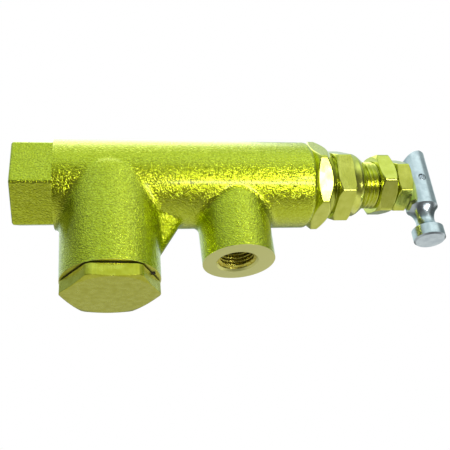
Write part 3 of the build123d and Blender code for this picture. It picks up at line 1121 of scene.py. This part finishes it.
NODE_FINISH = {
    "valve_body": CAST_BRONZE,
    "toggle_lever": ZINC_PLATE,
    "pull_stem": STAINLESS,
    "pilot_seat": STAINLESS,
    "stem_ring": SPRING_STEEL,
    "check_spring": SPRING_STEEL,
    "pilot_spring": SPRING_STEEL,
    "check_poppet": TURNED_BRASS,
    "seal_nut": TURNED_BRASS,
    "pilot_plunger": TURNED_BRASS,
    "spring_button": TURNED_BRASS,
    "check_seal": NITRILE,
    "plunger_seal": NITRILE,
    "plunger_oring": NITRILE,
    "seat_oring": NITRILE,
}


# Studio


@dataclass(frozen=True)
class Lamp:
    """A soft box that looks at the valve, its size as width by height in metres."""

    name: str
    place: Place
    size: tuple[float, float]
    watts: float

    def build(self, target: Vector) -> bpy.types.Object:
        """Make the lamp.

        Args:
            target: Point that it looks at, in metres.

        Returns:
            The lamp's object.
        """
        data = bpy.data.lights.new(self.name, "AREA")
        data.shape = "RECTANGLE"
        data.size, data.size_y = self.size
        data.energy = self.watts
        lamp = linked(self.name, data)
        place = Vector(self.place)
        turn = (target - place).to_track_quat("-Z", "Y")
        lamp.matrix_world = Matrix.LocRotScale(place, turn, None)
        return lamp


@dataclass(frozen=True)
class Floor:
    """Pale matt floor, far enough below for the camera's low place.

    Reflections show it with painted shade: darker towards the front, and a little darker but at its far
    right.
    """

    height: float = -0.24
    reach: float = 1.6
    roughness: float = 0.9
    dark: str = "#E6E6E4"
    pale: str = "#ECECEA"
    mottle_mm: float = 25.0
    reflection_shade_front_to_back: Fade = Fade(-0.13, 0.0, 0.12, 1.0)
    reflection_shade_left_to_right: Fade = Fade(0.2, 0.34, 0.70, 1.0)

    def painted_reflection_shade(self, tree: Tree, place: Socket) -> Socket:
        """Work out the painted shade: how much of the floor's colour a ray gets back.

        It is 1, but for a reflected ray it is the product of both fades of painted shade over the floor.

        Args:
            tree: The floor's node tree.
            place: Object coordinates.

        Returns:
            Socket of the share.
        """
        parts = add_node(tree, "ShaderNodeSeparateXYZ", {}, {0: place})
        shade_by_depth = add_node(
            tree, "ShaderNodeMapRange", self.reflection_shade_front_to_back.settings(), {"Value": parts.outputs["Y"]}
        ).outputs["Result"]
        shade_by_width = add_node(
            tree, "ShaderNodeMapRange", self.reflection_shade_left_to_right.settings(), {"Value": parts.outputs["X"]}
        ).outputs["Result"]
        links = {0: shade_by_depth, 1: shade_by_width}
        painted_shade = add_node(tree, "ShaderNodeMath", {"operation": "MULTIPLY"}, links).outputs[0]
        path = add_node(tree, "ShaderNodeLightPath", {})
        return add_node(
            tree,
            "ShaderNodeMix",
            {"data_type": "FLOAT", NUMBER_A: 1.0},
            {SHARE: path.outputs["Is Glossy Ray"], NUMBER_B: painted_shade},
        ).outputs[NUMBER_OUT]

    def material(self) -> bpy.types.Material:
        """Build the matt paint, slightly mottled, with painted shade that only reflections see.

        Returns:
            The floor's material.
        """
        material = bpy.data.materials.new("floor_matt_with_reflection_shade")
        tree = empty_tree(material)
        place = add_node(tree, "ShaderNodeTexCoord", {}).outputs["Object"]
        scale = 1 / (self.mottle_mm * MM)
        mottle = add_node(tree, "ShaderNodeTexNoise", {"Scale": scale, "Detail": 2.0}, {"Vector": place})
        tint = add_node(
            tree,
            "ShaderNodeMix",
            {"data_type": "RGBA", COLOUR_A: srgb(self.dark), COLOUR_B: srgb(self.pale)},
            {SHARE: mottle.outputs["Fac"]},
        ).outputs[COLOUR_OUT]
        # Painted shade: reflections see the floor darker towards the front and away from its far right
        share = self.painted_reflection_shade(tree, place)
        seen = add_node(tree, "ShaderNodeVectorMath", {"operation": "SCALE"}, {0: tint, "Scale": share})
        links = {"Base Color": seen.outputs["Vector"]}
        shader = add_node(tree, "ShaderNodeBsdfPrincipled", {"Roughness": self.roughness}, links)
        add_node(tree, "ShaderNodeOutputMaterial", {}, {"Surface": shader.outputs[0]})
        return material

    def build(self) -> bpy.types.Object:
        """Make the floor's plane.

        Returns:
            The floor's object.
        """
        corners = np.array([(-1, -1), (1, -1), (1, 1), (-1, 1)]) * self.reach
        mesh = bpy.data.meshes.new("floor")
        mesh.from_pydata([(x, y, self.height) for x, y in corners.tolist()], [], [(0, 1, 2, 3)])
        floor = linked("floor", mesh)
        mesh.materials.append(self.material())
        floor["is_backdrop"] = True
        return floor


@dataclass(frozen=True)
class Surroundings:
    """The world: white where it is seen, softer as light, and shaped for reflections.

    fill_light is the level that lights the valve where it isn't a mirror.
    mirrored holds the colours that reflections show, from straight down at 0 over the horizon
    at 0.5 to straight up at 1. Below the first and above the last the ramp goes on to its own
    black and white. Reflections also grow darker towards both ends of the barrel's axis.
    """

    fill_light: float = 0.85
    ends: Fade = Fade(0.55, 0.9, 1.0, 0.42)
    mirrored: tuple[tuple[float, str], ...] = (
        (0.02, "#AAAA9E"), (0.12, "#959588"), (0.3, "#9C9C90"), (0.5, "#808480"), (0.62, "#828E8C"),
        (0.7, "#CCDEDC"), (0.76, "#F0FFFF"), (0.84, "#CCDEDC"), (0.98, "#D0E2E0"),
    )

    def reflected(self, tree: Tree) -> Socket:
        """Build what reflections show: a ramp over the height, darker towards both ends.

        The height is the direction's upright part, spread from 0 to 1.

        Args:
            tree: The world's node tree.

        Returns:
            Colour socket.
        """
        way = add_node(tree, "ShaderNodeTexCoord", {}).outputs["Generated"]
        parts = add_node(tree, "ShaderNodeSeparateXYZ", {}, {0: way})
        values = {"operation": "MULTIPLY_ADD", 1: 0.5, 2: 0.5}
        height = add_node(tree, "ShaderNodeMath", values, {0: parts.outputs["Z"]}).outputs[0]
        ramp = add_node(tree, "ShaderNodeValToRGB", {}, {"Fac": height})
        for at, code in self.mirrored:
            ramp.color_ramp.elements.new(at).color = srgb(code)
        sideways = add_node(
            tree, "ShaderNodeMath", {"operation": "ABSOLUTE"}, {0: parts.outputs["X"]}
        ).outputs[0]
        shade = add_node(
            tree,
            "ShaderNodeMapRange",
            {"interpolation_type": "SMOOTHSTEP"} | self.ends.settings(),
            {"Value": sideways},
        ).outputs["Result"]
        links = {0: ramp.outputs["Color"], "Scale": shade}
        return add_node(tree, "ShaderNodeVectorMath", {"operation": "SCALE"}, links).outputs["Vector"]

    def build(self) -> None:
        """Make the world and give each kind of ray its own level."""
        world = bpy.data.worlds.new("studio")
        bpy.context.scene.world = world
        tree = empty_tree(world)
        path = add_node(tree, "ShaderNodeLightPath", {})
        seen = add_node(
            tree,
            "ShaderNodeMath",
            {"operation": "MAXIMUM"},
            {0: path.outputs["Is Camera Ray"], 1: path.outputs["Is Transmission Ray"]},
        ).outputs[0]
        fill_colour = (self.fill_light, self.fill_light, self.fill_light, 1.0)
        level = add_node(
            tree,
            "ShaderNodeMix",
            {"data_type": "RGBA", COLOUR_A: fill_colour},
            {SHARE: path.outputs["Is Glossy Ray"], COLOUR_B: self.reflected(tree)},
        ).outputs[COLOUR_OUT]
        level = add_node(
            tree,
            "ShaderNodeMix",
            {"data_type": "RGBA", COLOUR_B: srgb("#FFFFFF")},
            {SHARE: seen, COLOUR_A: level},
        ).outputs[COLOUR_OUT]
        light = add_node(tree, "ShaderNodeBackground", {"Strength": 1.0}, {"Color": level})
        add_node(tree, "ShaderNodeOutputWorld", {}, {"Surface": light.outputs[0]})


@dataclass(frozen=True)
class Viewpoint:
    """The camera as the photograph's perspective gives it.

    eye is in metres, the angles are in degrees, and focal_px, frame_px and centre_px are the
    focal length, the picture's side and its optical centre in pixels of the photograph.
    """

    eye: Place = (0.03182, -0.18054, -0.12396)
    yaw: float = 10.81
    pitch: float = 30.62
    roll: float = -6.09
    focal_px: float = 593.0
    frame_px: float = 450.0
    centre_px: tuple[float, float] = (203.0, 220.0)
    sensor_mm: float = 36.0
    nearest: float = 0.01

    def build(self) -> bpy.types.Object:
        """Place the camera.

        The view direction comes from yaw and pitch, and the roll turns the picture round it.

        Returns:
            The camera's object.
        """
        yaw, pitch, roll = (math.radians(angle) for angle in (self.yaw, self.pitch, self.roll))
        ahead = Vector(
            (math.sin(yaw) * math.cos(pitch), math.cos(yaw) * math.cos(pitch), math.sin(pitch))
        )
        right = Vector((math.cos(yaw), -math.sin(yaw), 0))
        above = right.cross(ahead)
        side = math.cos(roll) * right + math.sin(roll) * above
        up = -math.sin(roll) * right + math.cos(roll) * above
        data = bpy.data.cameras.new("camera")
        data.sensor_width = self.sensor_mm
        data.lens = self.focal_px / self.frame_px * data.sensor_width
        data.shift_x = (self.frame_px / 2 - self.centre_px[0]) / self.frame_px
        data.shift_y = (self.centre_px[1] - self.frame_px / 2) / self.frame_px
        data.clip_start = self.nearest
        camera = linked("camera", data)
        turn = Matrix((side, up, -ahead)).transposed()
        camera.matrix_world = Matrix.LocRotScale(Vector(self.eye), turn.to_quaternion(), None)
        bpy.context.scene.camera = camera
        return camera


@dataclass(frozen=True)
class Studio:
    """Camera, floor, world and lamps."""

    viewpoint: Viewpoint = Viewpoint()
    floor: Floor = Floor()
    surroundings: Surroundings = Surroundings()
    lamps: tuple[Lamp, ...] = (
        Lamp("key", (0.35, -0.43, 0.28), (0.60, 0.40), 0.22),
        Lamp("beside_camera", (0.22, -0.30, -0.165), (0.28, 0.04), 0.5),
        Lamp("nut_glint", (0.235, -0.30, -0.088), (0.06, 0.035), 0.10),
        Lamp("right_card", (0.29, -0.30, 0.05), (0.12, 0.07), 0.016),
        Lamp("top", (0.05, 0.15, 0.5), (0.40, 0.40), 0.6),
    )

    def build(self, target: Vector) -> None:
        """Set the view transform and make everything round the valve.

        Args:
            target: Middle of the valve, in metres.
        """
        bpy.context.scene.view_settings.view_transform = "Standard"
        self.viewpoint.build()
        self.floor.build()
        self.surroundings.build()
        for lamp in self.lamps:
            lamp.build(target)


# Assembly


@dataclass
class PilotValve:
    """The whole valve: dressed CAD nodes and the pieces that refine or join them."""

    nodes: dict[str, bpy.types.Object]
    materials: dict[str, bpy.types.Material] = field(default_factory=dict)

    def material(self, finish: Finish) -> bpy.types.Material:
        """Give the material of a finish, built once.

        Args:
            finish: The finish.

        Returns:
            Its material.
        """
        if finish.name not in self.materials:
            self.materials[finish.name] = finish.material()
        return self.materials[finish.name]

    def dress_nodes(self) -> None:
        """Give each CAD node the material of its finish."""
        for name, finish in NODE_FINISH.items():
            slots = self.nodes[name].data.materials
            slots.clear()
            slots.append(self.material(finish))
            LOG.info("dressed %s with %s", name, finish.name)

    def build(self) -> None:
        """Dress the nodes and make every added piece."""
        self.dress_nodes()
        made = [CheckValveCap().build(self.material(CAP_BRASS))]
        made += PressureSetting().build(self.material(TURNED_BRASS))
        made += Ports().build(self.material(CUT_THREAD))
        made.append(RaggedGasket().build(self.material(GASKET_SHEET)))
        made.append(CoiledPin().build(self.material(PIN_STEEL)))
        for piece in made:
            LOG.info("made %s with %d faces", piece.name, len(piece.data.polygons))


def box_as_lists(corners: tuple[Any, Any]) -> list[list[float]]:
    """Turn a box's two corners to plain lists."""
    return [[float(value) for value in corner] for corner in corners]


def main() -> None:
    """Build the valve and the studio, whose lamps look at the middle of the CAD model's box."""
    logging.basicConfig(level=logging.INFO, format="%(message)s")
    cad_box = box_as_lists(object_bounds())
    PilotValve(frame["nodes"]).build()
    low, high = (Vector(corner) for corner in cad_box)
    Studio().build((low + high) / 2)


if __name__ == "__main__":
    main()
